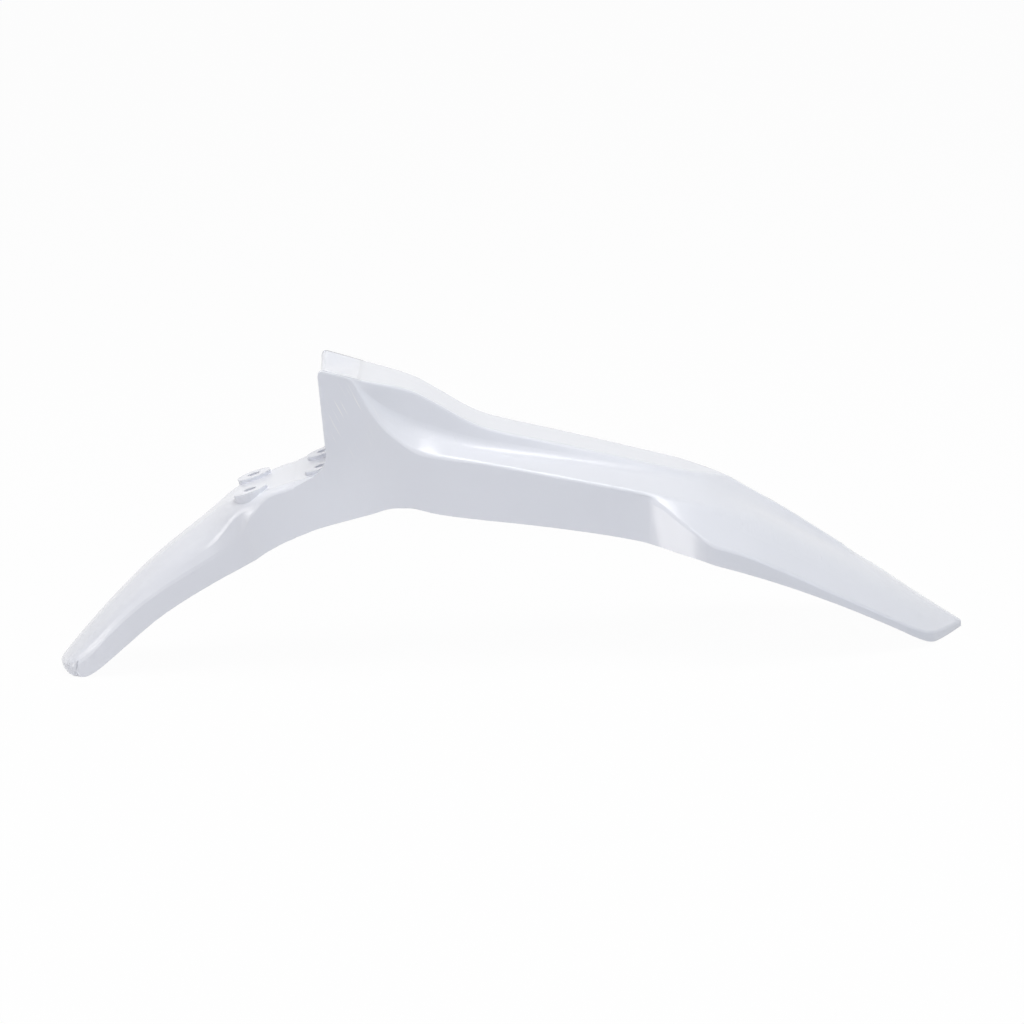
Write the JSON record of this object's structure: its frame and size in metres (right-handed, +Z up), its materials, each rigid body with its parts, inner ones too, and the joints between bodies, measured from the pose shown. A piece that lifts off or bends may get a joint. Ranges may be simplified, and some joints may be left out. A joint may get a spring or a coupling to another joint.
{
  "type": "motorcycle front mudguard",
  "caption": "One-piece moulded front mudguard for an off-road motorcycle, with a flared nose, raised plateau, side ears, bolt-on deck and arched tail.",
  "frame": {"origin": "middle of the bounding box at floor level, with the mudguard resting on its tail end and its nose edge", "axes": "+X forward to the nose, +Y to the rider's left, +Z up"},
  "size_m": [0.786, 0.2042, 0.2603],
  "materials": {
    "white_plastic": "smooth moulded gloss"
  },
  "bodies": {
    "root": {"mudguard": "white_plastic"}
  },
  "joints": []
}
